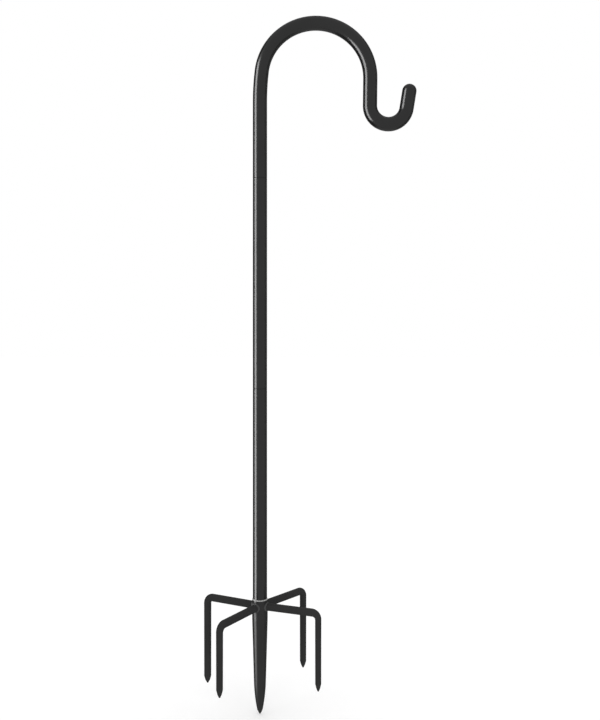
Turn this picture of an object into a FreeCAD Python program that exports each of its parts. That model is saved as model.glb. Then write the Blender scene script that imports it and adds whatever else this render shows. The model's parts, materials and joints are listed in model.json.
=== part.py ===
import FreeCAD, Part
import math
import os

import Sketcher

# Garden shepherd's hook: a bent tube hook on two plain pole sections, screwed one on
# another and onto a five-pronged ground base. Millimetres, +Z up. The origin is on the
# pole's axis at ground level, level with the undersides of the prong arms, and the
# hook reaches out along +X.

SIZES = [
    ("tube_diameter", 16.0, "outside of the pole and hook tube"),
    ("tube_wall", 1.2, "wall of the pole and hook tube"),
    ("tube_end_chamfer", 0.25, "break on the outer edge of each tube end"),
    ("section_length", 235.0, "each plain pole section, end to end"),
    ("shank_length", 86.0, "straight part of the hook section"),
    ("lead_radius", 287.6, "gentle bend from the shank into the arch, on the tube's axis"),
    ("lead_angle", 6.8, "degrees turned by the gentle bend"),
    ("arch_radius", 61.0, "arch, on the tube's axis"),
    ("arch_angle", 173.9, "degrees turned by the arch"),
    ("neck_length", 30.5, "straight part between the arch and the curl"),
    ("curl_radius", 20.6, "curl that holds the load, on the tube's axis"),
    ("curl_angle", 171.6, "degrees turned back by the curl"),
    ("tip_length", 20.0, "straight end of the hook, up to the cap"),
    ("cap_plug_length", 10.0, "part of the tip cap inside the tube"),
    ("cap_plug_chamfer", 1.0, "lead-in on the cap's inner end"),
    ("insert_length", 20.0, "threaded bush in a tube end"),
    ("insert_recess", 0.4, "how far a bush sits inside its tube end"),
    ("insert_chamfer", 0.8, "lead-in at the mouths of a threaded bore"),
    ("stud_diameter", 10.0, "over the stud's thread"),
    ("stud_chamfer", 1.2, "lead-in on the stud's ends"),
    ("thread_pitch", 1.5, "rise of one turn"),
    ("thread_turns", 8.5, "turns that a joint takes to come apart"),
    ("thread_groove_depth", 0.8, "depth of the stud's thread form"),
    ("thread_groove_width", 1.2, "width of the stud's thread form at its crest"),
    ("thread_gap", 0.05, "radial running clearance of a stud in its bore"),
    ("bore_spare", 3.0, "threaded bore in the spike beyond the stud's end"),
    ("hub_diameter", 17.4, "head of the spike, where the prongs are welded"),
    ("hub_rise", 12.8, "seat on top of the spike's head, above the ground"),
    ("hub_chamfer", 0.6, "break round the seat"),
    ("hub_depth", 10.0, "lower end of the spike's parallel head, below the ground"),
    ("shoulder_diameter", 13.4, "spike where its straight taper ends"),
    ("shoulder_depth", 80.6, "depth at which the straight taper ends"),
    ("ogive_diameter", 6.2, "spike where its ogive meets the cone of its point"),
    ("ogive_depth", 111.6, "depth at which the ogive ends"),
    ("nose_diameter", 2.2, "spike where its cone meets the rounded nose"),
    ("nose_height", 0.7, "rounded nose at the spike's point"),
    ("spike_depth", 116.4, "point of the spike, below the ground"),
    ("arm_diameter", 8.4, "prong rod where it runs out from the spike"),
    ("bend_radius", 7.0, "bend from arm to leg, on the rod's axis"),
    ("leg_taper", 0.3, "how much thinner a leg is where its point starts"),
    ("point_length", 8.0, "ground point at the end of a prong leg"),
    ("point_waist", 3.6, "height of the point's blunter second cone"),
    ("point_waist_share", 0.68, "width of the point there, as a share of the leg"),
    ("point_diameter", 1.6, "blunt end of a prong's point"),
    ("weld_size", 1.2, "leg of the weld bead round each arm"),
    ("front_right_angle", -18.8, "degrees from +X to the front right prong"),
    ("front_right_reach", 68.4, "pole axis to its leg axis"),
    ("front_right_drop", 85.1, "its arm axis down to its point"),
    ("front_right_leg_diameter", 6.9, "its leg, under the bend"),
    ("back_right_angle", 45.7, "degrees from +X to the back right prong"),
    ("back_right_reach", 69.4, "pole axis to its leg axis"),
    ("back_right_drop", 91.3, "its arm axis down to its point"),
    ("back_right_leg_diameter", 7.7, "its leg, under the bend"),
    ("back_left_angle", 155.6, "degrees from +X to the back left prong"),
    ("back_left_reach", 67.8, "pole axis to its leg axis"),
    ("back_left_drop", 99.0, "its arm axis down to its point"),
    ("back_left_leg_diameter", 8.4, "its leg, under the bend"),
    ("front_left_angle", -124.7, "degrees from +X to the front left prong"),
    ("front_left_reach", 69.4, "pole axis to its leg axis"),
    ("front_left_drop", 75.0, "its arm axis down to its point"),
    ("front_left_leg_diameter", 7.4, "its leg, under the bend"),
]


class Size:
    """A length or an angle: its number, and the formula that ties it to the sheet."""

    def __init__(self, number, formula):
        self.number = number
        self.formula = formula

    def joined(self, sign, other):
        number = other.number if isinstance(other, Size) else other
        formula = other.formula if isinstance(other, Size) else str(other)
        results = {
            "+": self.number + number,
            "-": self.number - number,
            "*": self.number * number,
            "/": self.number / number if number else 0.0,
        }
        return Size(results[sign], f"({self.formula} {sign} {formula})")

    def __add__(self, other):
        return self.joined("+", other)

    def __sub__(self, other):
        return self.joined("-", other)

    def __mul__(self, other):
        return self.joined("*", other)

    def __truediv__(self, other):
        return self.joined("/", other)

    def __neg__(self):
        return Size(-self.number, f"(-1 * {self.formula})")


def sine(angle):
    return Size(math.sin(math.radians(angle.number)), f"sin({angle.formula})")


def cosine(angle):
    return Size(math.cos(math.radians(angle.number)), f"cos({angle.formula})")


doc = FreeCAD.newDocument("shepherds_hook")
sheet = doc.addObject("Spreadsheet::Sheet", "Sizes")
size = {}
for row, (name, number, note) in enumerate(SIZES, start=1):
    sheet.set(f"A{row}", name)
    sheet.set(f"B{row}", str(number))
    sheet.set(f"C{row}", note)
    sheet.setAlias(f"B{row}", name)
    size[name] = Size(number, f"Sizes.{name}")
doc.recompute()

ZERO = Size(0.0, "0")
tube_radius = size["tube_diameter"] / 2
tube_bore_radius = tube_radius - size["tube_wall"]
stud_radius = size["stud_diameter"] / 2
thread_bore_radius = stud_radius + size["thread_gap"]
thread_travel = size["thread_pitch"] * size["thread_turns"]
hub_radius = size["hub_diameter"] / 2
arm_radius = size["arm_diameter"] / 2
arm_level = arm_radius
lower_joint = size["hub_rise"]
middle_joint = lower_joint + size["section_length"]
upper_joint = middle_joint + size["section_length"]


def bind(thing, place, value):
    """Ties one property or named constraint to its formula."""
    thing.setExpression(place, value.formula)


def new_body(label):
    body = doc.addObject("PartDesign::Body", label)
    body.Label = label
    return body


def new_sketch(body, name, role):
    """A sketch on one of the body's own origin planes."""
    sketch = body.newObject("Sketcher::SketchObject", f"{body.Label}_{name}")
    plane = [item for item in body.Origin.OriginFeatures if item.Role == role][0]
    sketch.AttachmentSupport = [(plane, "")]
    sketch.MapMode = "FlatFace"
    return sketch


def new_feature(body, kind, name):
    return body.newObject(f"PartDesign::{kind}", f"{body.Label}_{name}")


def vector(x, y):
    return FreeCAD.Vector(x.number, y.number, 0)


def fix(sketch, name, constraint, value):
    """Adds a dimension and ties it to its formula."""
    index = sketch.addConstraint(constraint)
    sketch.renameConstraint(index, name)
    bind(sketch, f"Constraints.{name}", value)


def fix_point(sketch, name, curve, end, x, y):
    """Holds a curve's end at x, y from the sketch's origin."""
    for letter, kind, axis, value in (("x", "DistanceX", -2, x), ("y", "DistanceY", -1, y)):
        if value is ZERO:
            sketch.addConstraint(Sketcher.Constraint("PointOnObject", curve, end, axis))
        else:
            rule = Sketcher.Constraint(kind, -1, 1, curve, end, value.number)
            fix(sketch, f"{name}_{letter}", rule, value)


def add_circle(sketch, name, radius, x=ZERO, y=ZERO):
    circle = Part.Circle(vector(x, y), FreeCAD.Vector(0, 0, 1), radius.number)
    index = sketch.addGeometry(circle, False)
    fix(sketch, f"{name}_radius", Sketcher.Constraint("Radius", index, radius.number), radius)
    fix_point(sketch, f"{name}_centre", index, 3, x, y)


def add_outline(sketch, points):
    """A closed outline of straight lines through points given in sizes."""
    count = len(points)
    for index, start in enumerate(points):
        end = points[(index + 1) % count]
        sketch.addGeometry(Part.LineSegment(vector(*start), vector(*end)), False)
    for index, point in enumerate(points):
        sketch.addConstraint(
            Sketcher.Constraint("Coincident", index, 1, (index - 1) % count, 2)
        )
        fix_point(sketch, f"corner_{index}", index, 1, *point)


def spin(body, name, sketch, kind="Revolution"):
    """Turns a sketch once round its own upright axis."""
    feature = new_feature(body, kind, name)
    feature.Profile = sketch
    feature.ReferenceAxis = (sketch, ["V_Axis"])
    feature.Angle = 360
    return feature


def place(body, x=ZERO, y=ZERO, z=ZERO):
    for letter, value in (("x", x), ("y", y), ("z", z)):
        bind(body, f"Placement.Base.{letter}", value)


def turn(body, axis, angle):
    body.Placement.Rotation = FreeCAD.Rotation(FreeCAD.Vector(*axis), angle.number)
    bind(body, "Placement.Rotation.Angle", angle)


def outer_rims(shape, radius, level):
    """Names of the edges that lie on one level circle of this radius."""
    names = []
    for index, edge in enumerate(shape.Edges, start=1):
        box = edge.BoundBox
        flat = box.ZLength < radius.number / 1000
        at_level = abs(box.ZMin - level.number) < radius.number / 1000
        round_enough = abs(box.XLength - radius.number * 2) < radius.number / 100
        if flat and at_level and round_enough:
            names.append(f"Edge{index}")
    return names


def chamfer(body, name, base, edges, value):
    feature = new_feature(body, "Chamfer", name)
    feature.Base = (base, edges)
    bind(feature, "Size", value)


# The hook's axis, as seen from -Y, starting at the foot of its shank: each end is
# worked out from the one before it.

end_heading = size["lead_angle"] + size["arch_angle"]
tip_heading = end_heading - size["curl_angle"]
lead_end_x = size["lead_radius"] * (Size(1.0, "1") - cosine(size["lead_angle"]))
lead_end_z = size["shank_length"] + size["lead_radius"] * sine(size["lead_angle"])
arch_x = lead_end_x + size["arch_radius"] * cosine(size["lead_angle"])
arch_z = lead_end_z - size["arch_radius"] * sine(size["lead_angle"])
neck_x = arch_x - size["arch_radius"] * cosine(end_heading)
neck_z = arch_z + size["arch_radius"] * sine(end_heading)
neck_end_x = neck_x + size["neck_length"] * sine(end_heading)
neck_end_z = neck_z + size["neck_length"] * cosine(end_heading)
curl_x = neck_end_x - size["curl_radius"] * cosine(end_heading)
curl_z = neck_end_z + size["curl_radius"] * sine(end_heading)
curl_end_x = curl_x + size["curl_radius"] * cosine(tip_heading)
curl_end_z = curl_z - size["curl_radius"] * sine(tip_heading)
tip_x = curl_end_x + size["tip_length"] * sine(tip_heading)
tip_z = curl_end_z + size["tip_length"] * cosine(tip_heading)


def arc_between(centre, start, end):
    """A circle's arc from start to end, anticlockwise, as sketches keep them."""
    radius = (start - centre).Length
    circle = Part.Circle(centre, FreeCAD.Vector(0, 0, 1), radius)
    first, last = (math.atan2(p.y - centre.y, p.x - centre.x) for p in (start, end))
    if last < first:
        last += 2 * math.pi
    return Part.ArcOfCircle(circle, first, last)


def add_hook_path(body):
    """Shank, gentle bend, arch, neck, curl and tip, each tangent to the last."""
    sketch = new_sketch(body, "path", "XZ_Plane")
    foot = vector(ZERO, ZERO)
    shank_end = vector(ZERO, size["shank_length"])
    lead_end = vector(lead_end_x, lead_end_z)
    arch_end = vector(neck_x, neck_z)
    neck_end = vector(neck_end_x, neck_end_z)
    curl_end = vector(curl_end_x, curl_end_z)
    tip_end = vector(tip_x, tip_z)
    lead_centre = vector(size["lead_radius"], size["shank_length"])
    shapes = [
        Part.LineSegment(foot, shank_end),
        arc_between(lead_centre, lead_end, shank_end),
        arc_between(vector(arch_x, arch_z), arch_end, lead_end),
        Part.LineSegment(arch_end, neck_end),
        arc_between(vector(curl_x, curl_z), neck_end, curl_end),
        Part.LineSegment(curl_end, tip_end),
    ]
    for shape in shapes:
        sketch.addGeometry(shape, False)
    shank, lead, arch, neck, curl, tip = range(len(shapes))
    start, end = 1, 2
    fix_point(sketch, "foot", shank, start, ZERO, ZERO)
    sketch.addConstraint(Sketcher.Constraint("Vertical", shank))
    for this, this_end, following, following_end in (
        (shank, end, lead, end),
        (lead, start, arch, end),
        (arch, start, neck, start),
        (neck, end, curl, start),
        (curl, end, tip, start),
    ):
        rule = Sketcher.Constraint("Tangent", this, this_end, following, following_end)
        sketch.addConstraint(rule)
    for name, curve in (("shank_length", shank), ("neck_length", neck), ("tip_length", tip)):
        fix(sketch, name, Sketcher.Constraint("Distance", curve, size[name].number), size[name])
    for name, curve in (("lead", lead), ("arch", arch), ("curl", curl)):
        radius, sweep = size[f"{name}_radius"], size[f"{name}_angle"]
        fix(sketch, f"{name}_radius", Sketcher.Constraint("Radius", curve, radius.number), radius)
        rule = Sketcher.Constraint("Angle", curve, math.radians(sweep.number))
        fix(sketch, f"{name}_angle", rule, sweep)
    return sketch, [f"Edge{index + 1}" for index in range(len(shapes))]


def make_hook_tube():
    body = new_body("hook_tube")
    path, edges = add_hook_path(body)
    outside = new_sketch(body, "outside", "XY_Plane")
    add_circle(outside, "tube", tube_radius)
    inside = new_sketch(body, "inside", "XY_Plane")
    add_circle(inside, "bore", tube_bore_radius)
    doc.recompute()
    for kind, name, profile in (
        ("AdditivePipe", "bar", outside),
        ("SubtractivePipe", "bore", inside),
    ):
        pipe = new_feature(body, kind, name)
        pipe.Profile = profile
        pipe.Spine = (path, edges)
        doc.recompute()
    rims = outer_rims(pipe.Shape, tube_radius, ZERO)
    chamfer(body, "foot_chamfer", pipe, rims, size["tube_end_chamfer"])
    place(body, z=upper_joint)
    return body


def make_tip_cap():
    """Domed cap on the hook's end, its plug inside the tube."""
    body = new_body("tip_cap")
    sketch = new_sketch(body, "profile", "XZ_Plane")
    plug_end = -size["cap_plug_length"]
    lead_in = size["cap_plug_chamfer"]
    corners = [
        (ZERO, tube_radius),
        (ZERO, plug_end),
        (tube_bore_radius - lead_in, plug_end),
        (tube_bore_radius, plug_end + lead_in),
        (tube_bore_radius, ZERO),
        (tube_radius, ZERO),
    ]
    for index, corner in enumerate(corners[:-1]):
        line = Part.LineSegment(vector(*corner), vector(*corners[index + 1]))
        sketch.addGeometry(line, False)
        if index:
            sketch.addConstraint(Sketcher.Constraint("Coincident", index, 1, index - 1, 2))
        fix_point(sketch, f"corner_{index}", index, 1, *corner)
    circle = Part.Circle(vector(ZERO, ZERO), FreeCAD.Vector(0, 0, 1), tube_radius.number)
    dome = sketch.addGeometry(Part.ArcOfCircle(circle, 0, math.pi / 2), False)
    sketch.addConstraint(Sketcher.Constraint("Coincident", dome, 3, -1, 1))
    sketch.addConstraint(Sketcher.Constraint("Coincident", dome, 1, dome - 1, 2))
    sketch.addConstraint(Sketcher.Constraint("Coincident", dome, 2, 0, 1))
    sketch.addConstraint(Sketcher.Constraint("PointOnObject", dome, 1, -1))
    spin(body, "cap", sketch)
    place(body, x=tip_x, z=upper_joint + tip_z)
    turn(body, (0, 1, 0), tip_heading)
    return body


def make_pole_tube(label, foot):
    """Plain pole section, its outer edges broken at both ends."""
    body = new_body(label)
    sketch = new_sketch(body, "wall", "XZ_Plane")
    edge = size["tube_end_chamfer"]
    top = size["section_length"]
    add_outline(sketch, [
        (tube_bore_radius, ZERO),
        (tube_radius - edge, ZERO),
        (tube_radius, edge),
        (tube_radius, top - edge),
        (tube_radius - edge, top),
        (tube_bore_radius, top),
    ])
    spin(body, "tube", sketch)
    place(body, z=foot)
    return body


def make_insert(label, foot):
    """Threaded bush pressed into a tube end; its bore is plain at the thread's size."""
    body = new_body(label)
    sketch = new_sketch(body, "wall", "XZ_Plane")
    edge = size["insert_chamfer"]
    top = size["insert_length"]
    add_outline(sketch, [
        (thread_bore_radius + edge, ZERO),
        (tube_bore_radius, ZERO),
        (tube_bore_radius, top),
        (thread_bore_radius + edge, top),
        (thread_bore_radius, top - edge),
        (thread_bore_radius, edge),
    ])
    spin(body, "bush", sketch)
    place(body, z=foot)
    return body


def make_stud(label, joint):
    """Double-ended stud centred on its joint; rings of its pitch stand for the thread."""
    body = new_body(label)
    sketch = new_sketch(body, "bar", "XZ_Plane")
    edge = size["stud_chamfer"]
    add_outline(sketch, [
        (ZERO, -thread_travel),
        (stud_radius - edge, -thread_travel),
        (stud_radius, edge - thread_travel),
        (stud_radius, thread_travel - edge),
        (stud_radius - edge, thread_travel),
        (ZERO, thread_travel),
    ])
    spin(body, "bar", sketch)
    doc.recompute()
    half_width = size["thread_groove_width"] / 2
    first = size["thread_pitch"] / 2 - thread_travel
    over = size["thread_groove_depth"]
    notch = new_sketch(body, "notch", "XZ_Plane")
    slope = half_width * (size["thread_groove_depth"] + over) / size["thread_groove_depth"]
    add_outline(notch, [
        (stud_radius - size["thread_groove_depth"], first),
        (stud_radius + over, first - slope),
        (stud_radius + over, first + slope),
    ])
    groove = spin(body, "groove", notch, kind="Groove")
    doc.recompute()
    pattern = new_feature(body, "LinearPattern", "thread")
    pattern.Originals = [groove]
    pattern.Direction = (notch, ["V_Axis"])
    bind(pattern, "Length", thread_travel * 2 - size["thread_pitch"])
    bind(pattern, "Occurrences", size["thread_turns"] * 2)
    body.Tip = pattern
    place(body, z=joint)
    return body


def make_spike():
    """Turned centre spike: parallel head, long straight taper, ogive and rounded nose."""
    body = new_body("spike")
    sketch = new_sketch(body, "profile", "XZ_Plane")
    bore_floor = size["hub_rise"] - thread_travel - size["bore_spare"]
    shoulder = (size["shoulder_diameter"] / 2, -size["shoulder_depth"])
    ogive_end = (size["ogive_diameter"] / 2, -size["ogive_depth"])
    nose = (size["nose_diameter"] / 2, size["nose_height"] - size["spike_depth"])
    point = (ZERO, -size["spike_depth"])
    corners = [
        point,
        (ZERO, bore_floor),
        (thread_bore_radius, bore_floor),
        (thread_bore_radius, size["hub_rise"] - size["insert_chamfer"]),
        (thread_bore_radius + size["insert_chamfer"], size["hub_rise"]),
        (hub_radius - size["hub_chamfer"], size["hub_rise"]),
        (hub_radius, size["hub_rise"] - size["hub_chamfer"]),
        (hub_radius, -size["hub_depth"]),
        shoulder,
    ]
    for index, corner in enumerate(corners[:-1]):
        line = Part.LineSegment(vector(*corner), vector(*corners[index + 1]))
        sketch.addGeometry(line, False)
        if index:
            sketch.addConstraint(Sketcher.Constraint("Coincident", index, 1, index - 1, 2))
        fix_point(sketch, f"corner_{index}", index, 1, *corner)
    taper = len(corners) - 2
    fix_point(sketch, "shoulder", taper, 2, *shoulder)
    ogive = sketch.addGeometry(tangent_arc(corners[-2], shoulder, ogive_end), False)
    sketch.addConstraint(Sketcher.Constraint("Tangent", taper, 2, ogive, 2))
    fix_point(sketch, "ogive_end", ogive, 1, *ogive_end)
    cone = sketch.addGeometry(Part.LineSegment(vector(*ogive_end), vector(*nose)), False)
    sketch.addConstraint(Sketcher.Constraint("Coincident", cone, 1, ogive, 1))
    fix_point(sketch, "nose", cone, 2, *nose)
    tip = sketch.addGeometry(nose_arc(vector(*nose), vector(*point)), False)
    sketch.addConstraint(Sketcher.Constraint("Coincident", tip, 1, 0, 1))
    sketch.addConstraint(Sketcher.Constraint("Coincident", tip, 2, cone, 2))
    sketch.addConstraint(Sketcher.Constraint("PointOnObject", tip, 3, -2))
    spin(body, "turned", sketch)
    return body


def tangent_arc(start, corner, end):
    """The arc that leaves the line start-corner smoothly at corner and ends at end."""
    line_start, joint, finish = vector(*start), vector(*corner), vector(*end)
    along = (joint - line_start).normalize()
    across = FreeCAD.Vector(-along.y, along.x, 0)
    chord = finish - joint
    centre = joint + across * (chord.dot(chord) / (2 * chord.dot(across)))
    return arc_between(centre, finish, joint)


def nose_arc(nose, point):
    """The arc from point to nose whose centre is on the spike's axis."""
    height = nose.y - point.y
    radius = (height * height + nose.x * nose.x) / (2 * height)
    return arc_between(FreeCAD.Vector(0, point.y + radius, 0), point, nose)


def make_prong(corner_name):
    """Bent rod: arm, necked bend and pointed leg, its end coped to the spike."""
    body = new_body(f"prong_{corner_name}")
    reach, bend = size[f"{corner_name}_reach"], size["bend_radius"]
    leg_top = size[f"{corner_name}_leg_diameter"] / 2
    leg_low = leg_top - size["leg_taper"] / 2
    drop = size[f"{corner_name}_drop"]

    arm_circle = new_sketch(body, "arm", "YZ_Plane")
    add_circle(arm_circle, "arm", arm_radius)
    arm = new_feature(body, "Pad", "arm_rod")
    arm.Profile = arm_circle
    bind(arm, "Length", reach - bend)

    arm_end = new_sketch(body, "arm_end", "YZ_Plane")
    add_circle(arm_end, "arm_end", arm_radius)
    bind(arm_end, "AttachmentOffset.Base.z", reach - bend)
    leg_start = new_sketch(body, "leg_start", "XY_Plane")
    add_circle(leg_start, "leg_start", leg_top, x=reach)
    bind(leg_start, "AttachmentOffset.Base.z", -bend)
    corner = new_sketch(body, "corner", "XZ_Plane")
    centre = vector(reach - bend, -bend)
    circle = Part.Circle(centre, FreeCAD.Vector(0, 0, 1), bend.number)
    corner.addGeometry(Part.ArcOfCircle(circle, 0, math.pi / 2), False)
    fix_point(corner, "centre", 0, 3, reach - bend, -bend)
    fix_point(corner, "leg_side", 0, 1, reach, -bend)
    corner.addConstraint(Sketcher.Constraint("Vertical", 0, 3, 0, 2))
    doc.recompute()
    elbow = new_feature(body, "AdditivePipe", "elbow")
    elbow.Profile = arm_end
    elbow.Spine = (corner, ["Edge1"])
    elbow.Transformation = "Multisection"
    elbow.Sections = [leg_start]
    doc.recompute()

    leg_half = new_sketch(body, "leg", "XZ_Plane")
    add_outline(leg_half, [
        (reach, -bend),
        (reach + leg_top, -bend),
        (reach + leg_low, size["point_length"] - drop),
        (reach + leg_low * size["point_waist_share"], size["point_waist"] - drop),
        (reach + size["point_diameter"] / 2, -drop),
        (reach, -drop),
    ])
    leg = new_feature(body, "Revolution", "leg_rod")
    leg.Profile = leg_half
    leg_axis = leg_half.addGeometry(
        Part.LineSegment(vector(reach, ZERO), vector(reach, -bend)), True
    )
    fix_point(leg_half, "axis_top", leg_axis, 1, reach, ZERO)
    leg_half.addConstraint(Sketcher.Constraint("Coincident", leg_axis, 2, 0, 1))
    leg.ReferenceAxis = (leg_half, ["Axis0"])
    leg.Angle = 360
    doc.recompute()

    hub_circle = new_sketch(body, "hub", "XY_Plane")
    add_circle(hub_circle, "hub", hub_radius)
    cope = new_feature(body, "Pocket", "cope")
    cope.Profile = hub_circle
    cope.Midplane = True
    bind(cope, "Length", size["arm_diameter"] * 2)
    place(body, z=arm_level)
    turn(body, (0, 0, 1), size[f"{corner_name}_angle"])
    return body


def make_welds(prongs, corner_names):
    """Weld beads round the roots of the arms; neighbours that meet are one solid."""
    blanks = []
    along_x = FreeCAD.Rotation(FreeCAD.Vector(0, 1, 0), 90)
    for corner_name in corner_names:
        collar = doc.addObject("Part::Cylinder", f"{corner_name}_collar")
        bind(collar, "Radius", arm_radius + size["weld_size"])
        bind(collar, "Height", hub_radius)
        collar.Placement.Rotation = along_x
        slope = doc.addObject("Part::Cone", f"{corner_name}_slope")
        bind(slope, "Radius1", arm_radius + size["weld_size"])
        bind(slope, "Radius2", arm_radius)
        bind(slope, "Height", size["weld_size"])
        slope.Placement.Rotation = along_x
        bind(slope, "Placement.Base.x", hub_radius)
        blank = doc.addObject("Part::Fuse", f"{corner_name}_blank")
        blank.Base, blank.Tool = collar, slope
        place(blank, z=arm_level)
        turn(blank, (0, 0, 1), size[f"{corner_name}_angle"])
        blanks.append(blank)
    head = doc.addObject("Part::Cylinder", "head_space")
    bind(head, "Radius", hub_radius)
    bind(head, "Height", size["hub_rise"] + size["hub_depth"])
    place(head, z=-size["hub_depth"])
    metal = doc.addObject("Part::MultiFuse", "weld_metal")
    metal.Shapes = blanks
    taken = doc.addObject("Part::MultiFuse", "taken_space")
    taken.Shapes = prongs + [head]
    welds = doc.addObject("Part::Cut", "prong_welds")
    welds.Label = "prong_welds"
    welds.Base, welds.Tool = metal, taken
    return welds


CORNERS = ("front_right", "back_right", "back_left", "front_left")

insert_top = size["insert_length"] + size["insert_recess"]
parts = [
    make_hook_tube(),
    make_tip_cap(),
    make_insert("hook_insert", upper_joint + size["insert_recess"]),
    make_stud("top_stud", upper_joint),
    make_pole_tube("upper_pole_tube", middle_joint),
    make_insert("upper_pole_top_insert", upper_joint - insert_top),
    make_insert("upper_pole_bottom_insert", middle_joint + size["insert_recess"]),
    make_stud("middle_stud", middle_joint),
    make_pole_tube("lower_pole_tube", lower_joint),
    make_insert("lower_pole_top_insert", middle_joint - insert_top),
    make_insert("lower_pole_bottom_insert", lower_joint + size["insert_recess"]),
    make_stud("base_stud", lower_joint),
    make_spike(),
]
prongs = [make_prong(name) for name in CORNERS]
parts += prongs
parts.append(make_welds(prongs, CORNERS))

doc.recompute()
for item in doc.Objects:
    if "Invalid" in item.State or "Error" in item.State:
        raise RuntimeError(f"{item.Name} failed: {item.State}")
os.makedirs("parts", exist_ok=True)
for item in parts:
    if item.Shape.isNull() or not item.Shape.isValid():
        raise RuntimeError(f"{item.Label} has no valid shape")
    item.Shape.exportStep(f"parts/{item.Label}.step")
    print(f"{item.Label}: {len(item.Shape.Solids)} solid(s), {item.Shape.Volume:.1f} mm3")
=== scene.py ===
import json
import math

import bmesh
import bpy
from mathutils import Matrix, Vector


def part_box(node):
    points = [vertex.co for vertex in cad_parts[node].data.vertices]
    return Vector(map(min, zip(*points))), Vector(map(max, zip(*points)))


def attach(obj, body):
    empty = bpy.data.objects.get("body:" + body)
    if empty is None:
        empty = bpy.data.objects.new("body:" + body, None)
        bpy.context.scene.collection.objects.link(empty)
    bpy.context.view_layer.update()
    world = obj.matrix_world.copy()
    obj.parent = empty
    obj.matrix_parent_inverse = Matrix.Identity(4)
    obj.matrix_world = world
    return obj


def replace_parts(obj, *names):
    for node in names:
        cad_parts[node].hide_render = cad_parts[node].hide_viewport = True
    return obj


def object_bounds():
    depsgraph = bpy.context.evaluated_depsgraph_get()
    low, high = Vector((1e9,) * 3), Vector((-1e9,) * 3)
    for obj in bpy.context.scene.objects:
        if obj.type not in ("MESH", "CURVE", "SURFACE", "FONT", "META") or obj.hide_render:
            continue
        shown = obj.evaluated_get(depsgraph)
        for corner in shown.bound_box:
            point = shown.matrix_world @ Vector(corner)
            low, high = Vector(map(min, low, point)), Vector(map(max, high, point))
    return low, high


# Looks of the garden shepherd's hook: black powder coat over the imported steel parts, real
# screw threads and weld beads, a white studio and the photograph's camera. Metres, in the
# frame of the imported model.

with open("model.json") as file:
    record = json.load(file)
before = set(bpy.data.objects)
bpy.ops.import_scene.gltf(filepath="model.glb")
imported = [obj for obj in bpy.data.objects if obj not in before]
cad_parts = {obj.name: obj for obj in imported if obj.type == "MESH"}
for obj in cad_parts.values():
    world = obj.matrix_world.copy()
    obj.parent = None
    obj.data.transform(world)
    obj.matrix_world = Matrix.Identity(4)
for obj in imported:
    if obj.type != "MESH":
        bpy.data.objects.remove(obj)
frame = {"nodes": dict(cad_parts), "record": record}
cad_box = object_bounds()

MM = 0.001

# The photograph's camera: level, a little under a metre in front of the pole's axis and
# to its right, its horizon above the middle of the frame.
IMAGE_WIDTH = 600
IMAGE_HEIGHT = 720
PIXEL_AT_POLE = 1.12 * MM
POLE_PIXEL_X = 259.95
HORIZON_PIXEL_Y = 305.0
GROUND_PIXEL_Y = 609.5
CAMERA_DISTANCE_PIXELS = 800.0
SENSOR_LONG_SIDE_MM = 36.0
LEVEL_TILT = math.radians(90)

# The studio. Directions are turned from the camera's side, positive to its left.
FLOOR_SIZE = 12.0
FLOOR_DROP = 0.5 * MM
FLOOR_PAINT = 0.85
FLOOR_GLOW = 0.2
STRIP_TURN = math.radians(73.9)
STRIP_DISTANCE = 4.0
STRIP_WIDTH = 2.43
STRIP_BOTTOM = -2.2
STRIP_TOP = 3.05
STRIP_RADIANCE = 16.0
FLAG_TURN = math.radians(118.0)
LEFT_FLAG_SHADE = 0.0
RIGHT_FLAG_SHADE = 0.45
FLAG_DISTANCE = 4.3
FLAG_WIDTH = 5.6
FLAG_HEIGHT = 11.0

# The colour sockets of a Mix node, which has others for numbers and vectors.
MIX_SHARE, MIX_FIRST, MIX_SECOND, MIX_RESULT = 0, 6, 7, 2


def grey(level):
    """A colour with the same level in red, green and blue."""
    return (level, level, level, 1)


def spread(value, share):
    """A value lowered and raised by a share of itself."""
    return value * (1 - share), value * (1 + share)


def node(tree, kind, **settings):
    """A shader node with its settings."""
    made = tree.nodes.new(kind)
    for name, value in settings.items():
        setattr(made, name, value)
    return made


def set_camera():
    camera_data = bpy.data.cameras.new("photo_camera")
    camera_data.sensor_fit = "AUTO"
    camera_data.sensor_width = SENSOR_LONG_SIDE_MM
    camera_data.lens = SENSOR_LONG_SIDE_MM * CAMERA_DISTANCE_PIXELS / IMAGE_HEIGHT
    camera_data.shift_y = (HORIZON_PIXEL_Y - IMAGE_HEIGHT / 2) / IMAGE_HEIGHT
    camera = bpy.data.objects.new("photo_camera", camera_data)
    camera.location = (
        (IMAGE_WIDTH / 2 - POLE_PIXEL_X) * PIXEL_AT_POLE,
        -CAMERA_DISTANCE_PIXELS * PIXEL_AT_POLE,
        (GROUND_PIXEL_Y - HORIZON_PIXEL_Y) * PIXEL_AT_POLE,
    )
    camera.rotation_euler = (LEVEL_TILT, 0, 0)
    bpy.context.scene.collection.objects.link(camera)
    bpy.context.scene.camera = camera


def set_world():
    """Even white light from everywhere, at the level that shows a colour as written."""
    world = bpy.data.worlds.new("studio")
    bpy.context.scene.world = world
    world.use_nodes = True
    tree = world.node_tree
    tree.nodes.clear()
    white = node(tree, "ShaderNodeBackground")
    white.inputs["Color"].default_value = grey(1)
    out = node(tree, "ShaderNodeOutputWorld")
    tree.links.new(white.outputs[0], out.inputs["Surface"])


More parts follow.
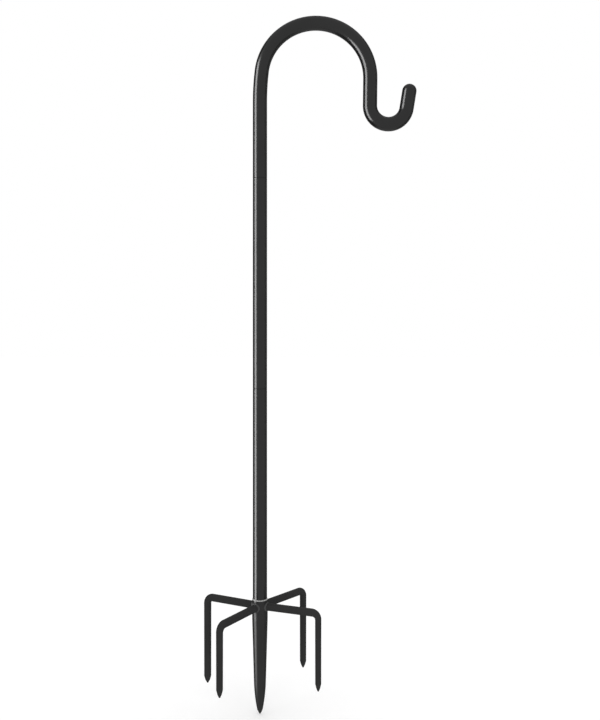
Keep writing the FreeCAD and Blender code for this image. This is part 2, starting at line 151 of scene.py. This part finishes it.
class Look:
    """A material, and the few shader steps that the finishes here are made of."""

    def __init__(self, name):
        self.material = bpy.data.materials.new(name)
        self.material.use_nodes = True
        self.tree = self.material.node_tree
        self.tree.nodes.clear()
        self.place = self.add("ShaderNodeTexCoord").outputs["Object"]

    def add(self, kind, **settings):
        return node(self.tree, kind, **settings)

    def feed(self, socket, value):
        """Joins a socket to another node's output, or sets its value."""
        if isinstance(value, bpy.types.NodeSocket):
            self.tree.links.new(value, socket)
        else:
            socket.default_value = value

    def maths(self, operation, *values):
        step = self.add("ShaderNodeMath", operation=operation)
        for socket, value in zip(step.inputs, values):
            self.feed(socket, value)
        return step.outputs[0]

    def height(self):
        """How high a point is, in metres."""
        split = self.add("ShaderNodeSeparateXYZ")
        self.feed(split.inputs[0], self.place)
        return split.outputs["Z"]

    def radius(self):
        """How far a point is from the pole's axis, in metres."""
        flat = self.add("ShaderNodeVectorMath", operation="MULTIPLY")
        self.feed(flat.inputs[0], self.place)
        flat.inputs[1].default_value = (1, 1, 0)
        length = self.add("ShaderNodeVectorMath", operation="LENGTH")
        self.feed(length.inputs[0], flat.outputs[0])
        return length.outputs["Value"]

    def noise(self, grain, detail=0.0, stretch=(1, 1, 1)):
        """Smooth noise round a half, its lumps about a grain across."""
        mapped = self.add("ShaderNodeMapping")
        self.feed(mapped.inputs["Vector"], self.place)
        mapped.inputs["Scale"].default_value = stretch
        texture = self.add("ShaderNodeTexNoise")
        self.feed(texture.inputs["Vector"], mapped.outputs[0])
        texture.inputs["Scale"].default_value = 1 / grain
        texture.inputs["Detail"].default_value = detail
        return texture.outputs[0]

    def ramp(self, value, low, high, start=0.0, end=1.0):
        """Start below low, end above high and a smooth change between."""
        step = self.add("ShaderNodeMapRange", interpolation_type="SMOOTHSTEP")
        for name, number in (
            ("Value", value),
            ("From Min", low),
            ("From Max", high),
            ("To Min", start),
            ("To Max", end),
        ):
            self.feed(step.inputs[name], number)
        return step.outputs["Result"]

    def mix(self, share, first, second):
        """A colour that goes from first to second as share goes from 0 to 1."""
        step = self.add("ShaderNodeMix", data_type="RGBA")
        self.feed(step.inputs[MIX_SHARE], share)
        self.feed(step.inputs[MIX_FIRST], first)
        self.feed(step.inputs[MIX_SECOND], second)
        return step.outputs[MIX_RESULT]

    def bump(self, level, depth, under=None):
        """Surface relief: level times depth in metres, over another relief."""
        step = self.add("ShaderNodeBump")
        self.feed(step.inputs["Height"], level)
        step.inputs["Distance"].default_value = depth
        if under is not None:
            self.feed(step.inputs["Normal"], under)
        return step.outputs[0]

    def finish(self, numbers, fed):
        """The material, from the shader's plain numbers and what feeds its other sockets."""
        shader = self.add("ShaderNodeBsdfPrincipled")
        for name, number in numbers.items():
            shader.inputs[name].default_value = number
        for name, value in fed.items():
            self.feed(shader.inputs[name], value)
        out = self.add("ShaderNodeOutputMaterial")
        self.tree.links.new(shader.outputs[0], out.inputs["Surface"])
        return self.material


def set_floor():
    """A pale floor that reads white to the eye, yet still takes the object's shadow.

    Gloss sees past it, to the same white, because the black tubes mirror lights that
    stand below its level.
    """
    low, _ = cad_box
    bpy.ops.mesh.primitive_plane_add(size=FLOOR_SIZE, location=(0, 0, low.z - FLOOR_DROP))
    floor = bpy.context.object
    floor.name = "floor"
    look = Look("pale_floor")
    paint = look.add("ShaderNodeBsdfDiffuse")
    paint.inputs["Color"].default_value = grey(FLOOR_PAINT)
    path = look.add("ShaderNodeLightPath")
    seen = look.maths("MAXIMUM", path.outputs["Is Camera Ray"], path.outputs["Is Glossy Ray"])
    seen = look.maths("MAXIMUM", seen, path.outputs["Is Transmission Ray"])
    glow = look.add("ShaderNodeEmission")
    look.feed(glow.inputs["Strength"], look.maths("MULTIPLY", seen, FLOOR_GLOW))
    both = look.add("ShaderNodeAddShader")
    look.feed(both.inputs[0], paint.outputs[0])
    look.feed(both.inputs[1], glow.outputs[0])
    out = look.add("ShaderNodeOutputMaterial")
    look.feed(out.inputs["Surface"], both.outputs[0])
    floor.data.materials.append(look.material)
    floor.visible_glossy = False
    floor.visible_shadow = False


def away(turn, distance, height):
    """A place round the pole, and the turn that faces the pole from there."""
    direction = Vector((-math.sin(turn), -math.cos(turn), 0))
    place = direction * distance
    place.z = height
    return place, direction.to_track_quat("Z", "Y").to_euler()


def add_strip():
    """A tall strip light to the camera's left, which only the gloss shows."""
    light = bpy.data.lights.new("strip", "AREA")
    light.shape = "RECTANGLE"
    light.size = STRIP_WIDTH
    light.size_y = STRIP_TOP - STRIP_BOTTOM
    light.energy = STRIP_RADIANCE * math.pi * light.size * light.size_y
    strip = bpy.data.objects.new("strip", light)
    middle = (STRIP_TOP + STRIP_BOTTOM) / 2
    strip.location, strip.rotation_euler = away(STRIP_TURN, STRIP_DISTANCE, middle)
    strip.visible_diffuse = False
    strip.visible_camera = False
    bpy.context.scene.collection.objects.link(strip)
    return strip


def spare(strip, pieces):
    """Keeps the strip light off pieces."""
    spared = bpy.data.collections.new("not_lit_by_strip")
    strip.light_linking.receiver_collection = spared
    for row, piece in enumerate(pieces):
        spared.objects.link(piece)
        spared.collection_objects[row].light_linking.link_state = "EXCLUDE"


def add_flag(turn, shade):
    """A dark panel that keeps white glare off the rims of the tubes."""
    bpy.ops.mesh.primitive_plane_add(size=1)
    flag = bpy.context.object
    flag.name = "flag"
    flag.scale = (FLAG_WIDTH, FLAG_HEIGHT, 1)
    flag.location, flag.rotation_euler = away(turn, FLAG_DISTANCE, 0)
    look = Look("flag_cloth")
    cloth = look.add("ShaderNodeBsdfDiffuse")
    cloth.inputs["Color"].default_value = grey(shade)
    out = look.add("ShaderNodeOutputMaterial")
    look.feed(out.inputs["Surface"], cloth.outputs[0])
    flag.data.materials.append(look.material)
    flag.visible_camera = False
    flag.visible_diffuse = False
    flag.visible_shadow = False


set_camera()
set_world()
set_floor()
strip_light = add_strip()
add_flag(FLAG_TURN, LEFT_FLAG_SHADE)
add_flag(-FLAG_TURN, RIGHT_FLAG_SHADE)

# The thread. One turn rises by the pitch. Its form is places up the pitch, as shares of it,
# each with its share of the groove's depth.
THREAD_PITCH = 1.5 * MM
THREAD_DEPTH = 0.8 * MM
THREAD_FORM_SHARES = ((0.0, 0.0), (0.2, 0.0), (0.54, 1.0), (0.66, 1.0))
THREAD_COLUMNS = 64
THREAD_RIDGE_TURN = 0.5
STUD_CHAMFER = 1.2 * MM

# Weld beads: a low crown with ripples, laid round each arm's root and let into both metals.
BEAD_SIZE = 1.2 * MM
BEAD_CROWN_SHARE = 0.86
BEAD_SINK = 0.15 * MM
BEAD_RIPPLES = 30
BEAD_RIPPLE_SHARE = 0.09
BEAD_STEPS_PER_RIPPLE = 6
BEAD_STEPS = BEAD_STEPS_PER_RIPPLE * BEAD_RIPPLES
BEAD_PROFILE_POINTS = 9
BEAD_PROFILE_START = math.radians(-7)
BEAD_PROFILE_END = math.radians(97)

SAME_PLACE = 0.002 * MM
SHARP_ANGLE = math.radians(30)

# Powder coat. Its relief is the soft orange peel of a sprayed and baked powder, with a
# finer grain on it. Bare steel shows where screwing rubs the coat off, pale and dull; round
# the seat's rim and the pole's foot it is also a painted highlight. Each coat has its shade,
# its roughness, its share of gloss and how strong its peel is.
COATS = {
    "tube_coat": (0.0145, 0.2, 0.24, 1.0),
    "foot_coat": (0.0145, 0.2, 0.24, 1.0),
    "cap_coat": (0.0145, 0.23, 0.24, 1.5),
    "spike_coat": (0.0206, 0.3, 0.16, 1.5),
    "prong_coat": (0.0275, 0.45, 0.08, 5.0),
    # The beads' lighter shade is a painted highlight, for the light that catches their
    # ripples.
    "bead_coat_painted_highlight": (0.0454, 0.4, 0.24, 7.0),
}
GLOSS_IOR = 1.8
NO_SPECULAR = 0.0
PEEL_GRAIN = 2.4 * MM
PEEL_DEPTH = 0.0025 * MM
PEEL_DETAIL = 1
FINE_GRAIN = 0.5 * MM
FINE_DEPTH = 0.0005 * MM
CLOUD_GRAIN = 45 * MM
CLOUD_DETAIL = 2
CLOUD_SPREAD = (0.35, 0.65)
SHADE_VARIATION = 0.06
ROUGHNESS_GRAIN = CLOUD_GRAIN / 2
ROUGHNESS_DETAIL = 1
ROUGHNESS_VARIATION = 0.12
SPECK_GRAIN = 0.7 * MM
SPECK_DETAIL = 2
SPECK_VARIATION = 0.05
# Pale rubbed steel, which round the seat's rim and the pole's foot is also a painted
# highlight.
RUBBED_AND_HIGHLIGHT_DARK = (0.3, 0.3, 0.3, 1)
RUBBED_AND_HIGHLIGHT_LIGHT = (0.52, 0.52, 0.51, 1)
RUBBED_GRAIN = 1.1 * MM
RUBBED_DETAIL = 3
RUBBED_SCRATCH = (1, 1, 4)
RUBBED_ROUGHNESS = 0.85
RUBBED_METAL = 0.1
RUBBED_EDGE = 0.05 * MM
SEAT_RUB_AND_HIGHLIGHT = 0.85 * MM
FOOT_RUB_AND_HIGHLIGHT = 0.3 * MM
BORE_EDGE = 0.1 * MM
BORE_SPARE = 4 * MM


def powder_coat(name, bare_and_highlight=None, thread=False):
    """Black powder coat. The rubbing, if given, takes the look and gives the share of the coat
    rubbed off to pale metal, which round the seat's rim is also a painted highlight.
    """
    shade, roughness, gloss, peel = COATS[name]
    look = Look(name)
    clouds = look.ramp(look.noise(CLOUD_GRAIN, CLOUD_DETAIL), *CLOUD_SPREAD)
    specks = look.ramp(look.noise(SPECK_GRAIN, SPECK_DETAIL), *CLOUD_SPREAD)
    blends = []
    for tone in spread(shade, SHADE_VARIATION):
        low, high = spread(tone, SPECK_VARIATION)
        blends.append(look.mix(specks, grey(low), grey(high)))
    colour = look.mix(clouds, *blends)
    patches = look.noise(ROUGHNESS_GRAIN, ROUGHNESS_DETAIL)
    rough = look.ramp(patches, *CLOUD_SPREAD, *spread(roughness, ROUGHNESS_VARIATION))
    relief = look.bump(look.noise(PEEL_GRAIN, PEEL_DETAIL), PEEL_DEPTH * peel)
    relief = look.bump(look.noise(FINE_GRAIN), FINE_DEPTH * peel, relief)
    metallic = 0.0
    if bare_and_highlight is not None:
        worn_and_highlight = bare_and_highlight(look)
        metallic = look.maths("MULTIPLY", worn_and_highlight, RUBBED_METAL)
        marks = look.noise(RUBBED_GRAIN, RUBBED_DETAIL, RUBBED_SCRATCH)
        rubbed_steel_and_highlight = look.mix(look.ramp(marks, *CLOUD_SPREAD), RUBBED_AND_HIGHLIGHT_DARK, RUBBED_AND_HIGHLIGHT_LIGHT)
        colour = look.mix(worn_and_highlight, colour, rubbed_steel_and_highlight)
        rough = look.maths("MAXIMUM", rough, look.maths("MULTIPLY", worn_and_highlight, RUBBED_ROUGHNESS))
    if thread:
        relief = bore_thread(look, relief)
    return look.finish(
        {
            "Specular IOR Level": NO_SPECULAR,
            "Coat Weight": gloss,
            "Coat Roughness": roughness,
            "Coat IOR": GLOSS_IOR,
        },
        {
            "Base Color": colour,
            "Roughness": rough,
            "Metallic": metallic,
            "Normal": relief,
            "Coat Normal": relief,
        },
    )


def in_bore(look):
    """1 in the threaded bores, which all share the pole's axis, and 0 on the spike's point."""
    low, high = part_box("base_stud")
    floor = low.z - BORE_SPARE
    near = look.ramp(look.radius(), high.x + BORE_EDGE, high.x + 2 * BORE_EDGE, 1.0, 0.0)
    above = look.ramp(look.height(), floor - BORE_EDGE, floor)
    return look.maths("MULTIPLY", near, above)


def bore_thread(look, under):
    """The helical ridges of a threaded bore, as relief on its plain wall."""
    split = look.add("ShaderNodeSeparateXYZ")
    look.feed(split.inputs[0], look.place)
    angle = look.maths("ARCTAN2", split.outputs["Y"], split.outputs["X"])
    turned = look.maths("DIVIDE", angle, math.tau)
    risen = look.maths("DIVIDE", split.outputs["Z"], THREAD_PITCH)
    phase = look.maths("ADD", risen, turned)
    ridge = look.maths("PINGPONG", phase, THREAD_RIDGE_TURN)
    height = look.maths("MULTIPLY", ridge, in_bore(look))
    return look.bump(height, THREAD_DEPTH, under)


def seat_highlight_and_bore_wear(look):
    """The pale ring round the spike's seat, where the pole screws down, and the bore in it:
    rubbed coat, with the ring also a painted highlight on the seat's rim.
    """
    _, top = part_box("spike")
    _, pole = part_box("lower_pole_tube")
    edge = top.z - SEAT_RUB_AND_HIGHLIGHT
    on_top = look.ramp(look.height(), edge, edge + RUBBED_EDGE)
    outside = look.ramp(look.radius(), pole.x - RUBBED_EDGE, pole.x)
    # The ring round the seat's rim: rubbed coat and a painted highlight.
    ring = look.maths("MULTIPLY", on_top, outside)
    return look.maths("MAXIMUM", ring, in_bore(look))


def foot_wear_and_highlight(look):
    """The lowest edge of the pole, where it bears on the seat: rubbed coat, made pale as a
    painted highlight on the rim.
    """
    foot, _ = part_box("lower_pole_tube")
    edge = foot.z + FOOT_RUB_AND_HIGHLIGHT
    return look.ramp(look.height(), edge, edge + RUBBED_EDGE, 1.0, 0.0)


tube_coat = powder_coat("tube_coat")
foot_coat = powder_coat("foot_coat", bare_and_highlight=foot_wear_and_highlight)
cap_coat = powder_coat("cap_coat")
spike_coat = powder_coat("spike_coat", bare_and_highlight=seat_highlight_and_bore_wear, thread=True)
prong_coat = powder_coat("prong_coat")
bead_coat_painted_highlight = powder_coat("bead_coat_painted_highlight")

# Bright zinc plate over turned steel.
PLATE_BLUE = (0.56, 0.57, 0.6, 1)
PLATE_WARM = (0.64, 0.64, 0.62, 1)
PLATE_GRAIN = 3 * MM
PLATE_DETAIL = 2
PLATE_ROUGHNESS_GRAIN = PLATE_GRAIN / 2
PLATE_ROUGHNESS_DETAIL = 1
PLATE_ROUGHNESS = (0.26, 0.38)
TURNING_GRAIN = 0.15 * MM
TURNING_STRETCH = (0.02, 0.02, 1)
TURNING_DEPTH = 0.003 * MM
METAL = 1.0
METAL_SPECULAR = 0.5


def plated_steel(name, thread=False):
    """Bright plate with the fine rings of turning, and with a bore's thread if asked."""
    look = Look(name)
    cloud = look.ramp(look.noise(PLATE_GRAIN, PLATE_DETAIL), *CLOUD_SPREAD)
    colour = look.mix(cloud, PLATE_BLUE, PLATE_WARM)
    patches = look.noise(PLATE_ROUGHNESS_GRAIN, PLATE_ROUGHNESS_DETAIL)
    rough = look.ramp(patches, *CLOUD_SPREAD, *PLATE_ROUGHNESS)
    relief = look.bump(look.noise(TURNING_GRAIN, stretch=TURNING_STRETCH), TURNING_DEPTH)
    if thread:
        relief = bore_thread(look, relief)
    return look.finish(
        {"Metallic": METAL, "Specular IOR Level": METAL_SPECULAR},
        {"Base Color": colour, "Roughness": rough, "Normal": relief},
    )


plate = plated_steel("plated_steel")
bush_plate = plated_steel("bush_plate", thread=True)


def add_piece(name, work, material, body, replaced):
    """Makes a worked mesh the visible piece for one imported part, moving with its body."""
    bmesh.ops.recalc_face_normals(work, faces=work.faces)
    mesh = bpy.data.meshes.new(name)
    work.to_mesh(mesh)
    work.free()
    mesh.shade_smooth()
    mesh.set_sharp_from_angle(angle=SHARP_ANGLE)
    mesh.materials.append(material)
    piece = bpy.data.objects.new(name, mesh)
    bpy.context.scene.collection.objects.link(piece)
    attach(piece, body)
    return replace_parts(piece, replaced)


def join_rows(work, first, second, shift=0):
    """Faces between two lines of vertices, the second taken from shift places further on."""
    for row in range(len(first) - 1 - shift):
        far = row + shift
        work.faces.new((first[row], second[far], second[far + 1], first[row + 1]))


def add_screw(name):
    """A stud with its helical thread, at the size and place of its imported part."""
    low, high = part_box(name)
    radius = high.x
    middle, reach = (low.z + high.z) / 2, (high.z - low.z) / 2
    turns = math.ceil(reach / THREAD_PITCH) + 1
    work = bmesh.new()
    columns = []
    for column in range(THREAD_COLUMNS):
        share = column / THREAD_COLUMNS
        line = []
        for whole in range(-turns - 1, turns + 1):
            for rise, depth in THREAD_FORM_SHARES:
                level = (whole + rise + share) * THREAD_PITCH
                level = max(-reach, min(reach, level))
                chamfer = max(0.0, abs(level) - (reach - STUD_CHAMFER))
                out = radius - max(depth * THREAD_DEPTH, chamfer)
                x, y = out * math.cos(math.tau * share), out * math.sin(math.tau * share)
                line.append(work.verts.new((x, y, middle + level)))
        columns.append(line)
    for first, second in zip(columns, columns[1:]):
        join_rows(work, first, second)
    join_rows(work, columns[-1], columns[0], len(THREAD_FORM_SHARES))
    bmesh.ops.remove_doubles(work, verts=work.verts, dist=SAME_PLACE)
    loose = [vertex for vertex in work.verts if not vertex.link_faces]
    bmesh.ops.delete(work, geom=loose, context="VERTS")
    bmesh.ops.holes_fill(work, edges=[edge for edge in work.edges if edge.is_boundary])
    return add_piece(f"{name}_screw", work, plate, name, name)


def bead_ring(work, head, arm, out, side, turn):
    """One cross-section of a bead, at an angle round the arm from its top."""
    up = Vector((0, 0, 1))
    across = arm * math.sin(turn)
    foot = out * math.sqrt(head * head - across * across) + side * across
    from_head = foot.normalized()
    foot += up * (arm + arm * math.cos(turn))
    from_arm = side * math.sin(turn) + up * math.cos(turn)
    on_head = (from_arm - from_head * from_arm.dot(from_head)).normalized()
    ripple = abs(math.sin(turn * BEAD_RIPPLES / 2))
    size = BEAD_SIZE * (1 - BEAD_RIPPLE_SHARE * (1 - ripple))
    ring = [work.verts.new(foot - (on_head + out) * BEAD_SINK)]
    for step in range(BEAD_PROFILE_POINTS):
        share = step / (BEAD_PROFILE_POINTS - 1)
        lean = BEAD_PROFILE_START + (BEAD_PROFILE_END - BEAD_PROFILE_START) * share
        crown = 1 - (1 - BEAD_CROWN_SHARE) * abs(math.sin(2 * lean))
        spot = (on_head * math.cos(lean) + out * math.sin(lean)) * size * crown
        ring.append(work.verts.new(foot + spot))
    return ring + ring[:1]


def add_beads():
    """The weld beads round the roots of the four prongs, as one piece."""
    _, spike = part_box("spike")
    work = bmesh.new()
    for name, part in frame["nodes"].items():
        if not name.startswith("prong_") or name == "prong_welds":
            continue
        low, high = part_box(name)
        leg = [vertex.co for vertex in part.data.vertices if vertex.co.z < low.z / 2]
        middle = sum(leg, Vector())
        out = Vector((middle.x, middle.y, 0)).normalized()
        side = Vector((-out.y, out.x, 0))
        rings = []
        for step in range(BEAD_STEPS):
            turn = math.tau * step / BEAD_STEPS
            rings.append(bead_ring(work, spike.x, high.z / 2, out, side, turn))
        for first, second in zip(rings, rings[1:] + rings[:1]):
            join_rows(work, first, second)
    add_piece("weld_beads", work, bead_coat_painted_highlight, "base", "prong_welds")


slots = {row["node"]: row["material_slot"] for row in frame["record"]["subparts"]}
coats = {"spike": spike_coat, "tip_cap": cap_coat, "lower_pole_tube": foot_coat}
for name, part in frame["nodes"].items():
    part.data.materials.clear()
    if name.startswith("prong_"):
        part.data.materials.append(prong_coat)
    elif name.endswith("_insert"):
        part.data.materials.append(bush_plate)
    elif slots[name] == "plated_steel":
        part.data.materials.append(plate)
    else:
        part.data.materials.append(coats.get(name, tube_coat))

# The strip light would clip the bright metal to white, and the dull prongs show no stripe.
spared = [add_screw(stud) for stud in ("base_stud", "middle_stud", "top_stud")]
spared += [part for name, part in frame["nodes"].items() if slots[name] == "plated_steel"]
spared += [part for name, part in frame["nodes"].items() if name.startswith("prong_")]
spare(strip_light, spared)
add_beads()

view = bpy.context.scene.view_settings
view.view_transform = "Standard"
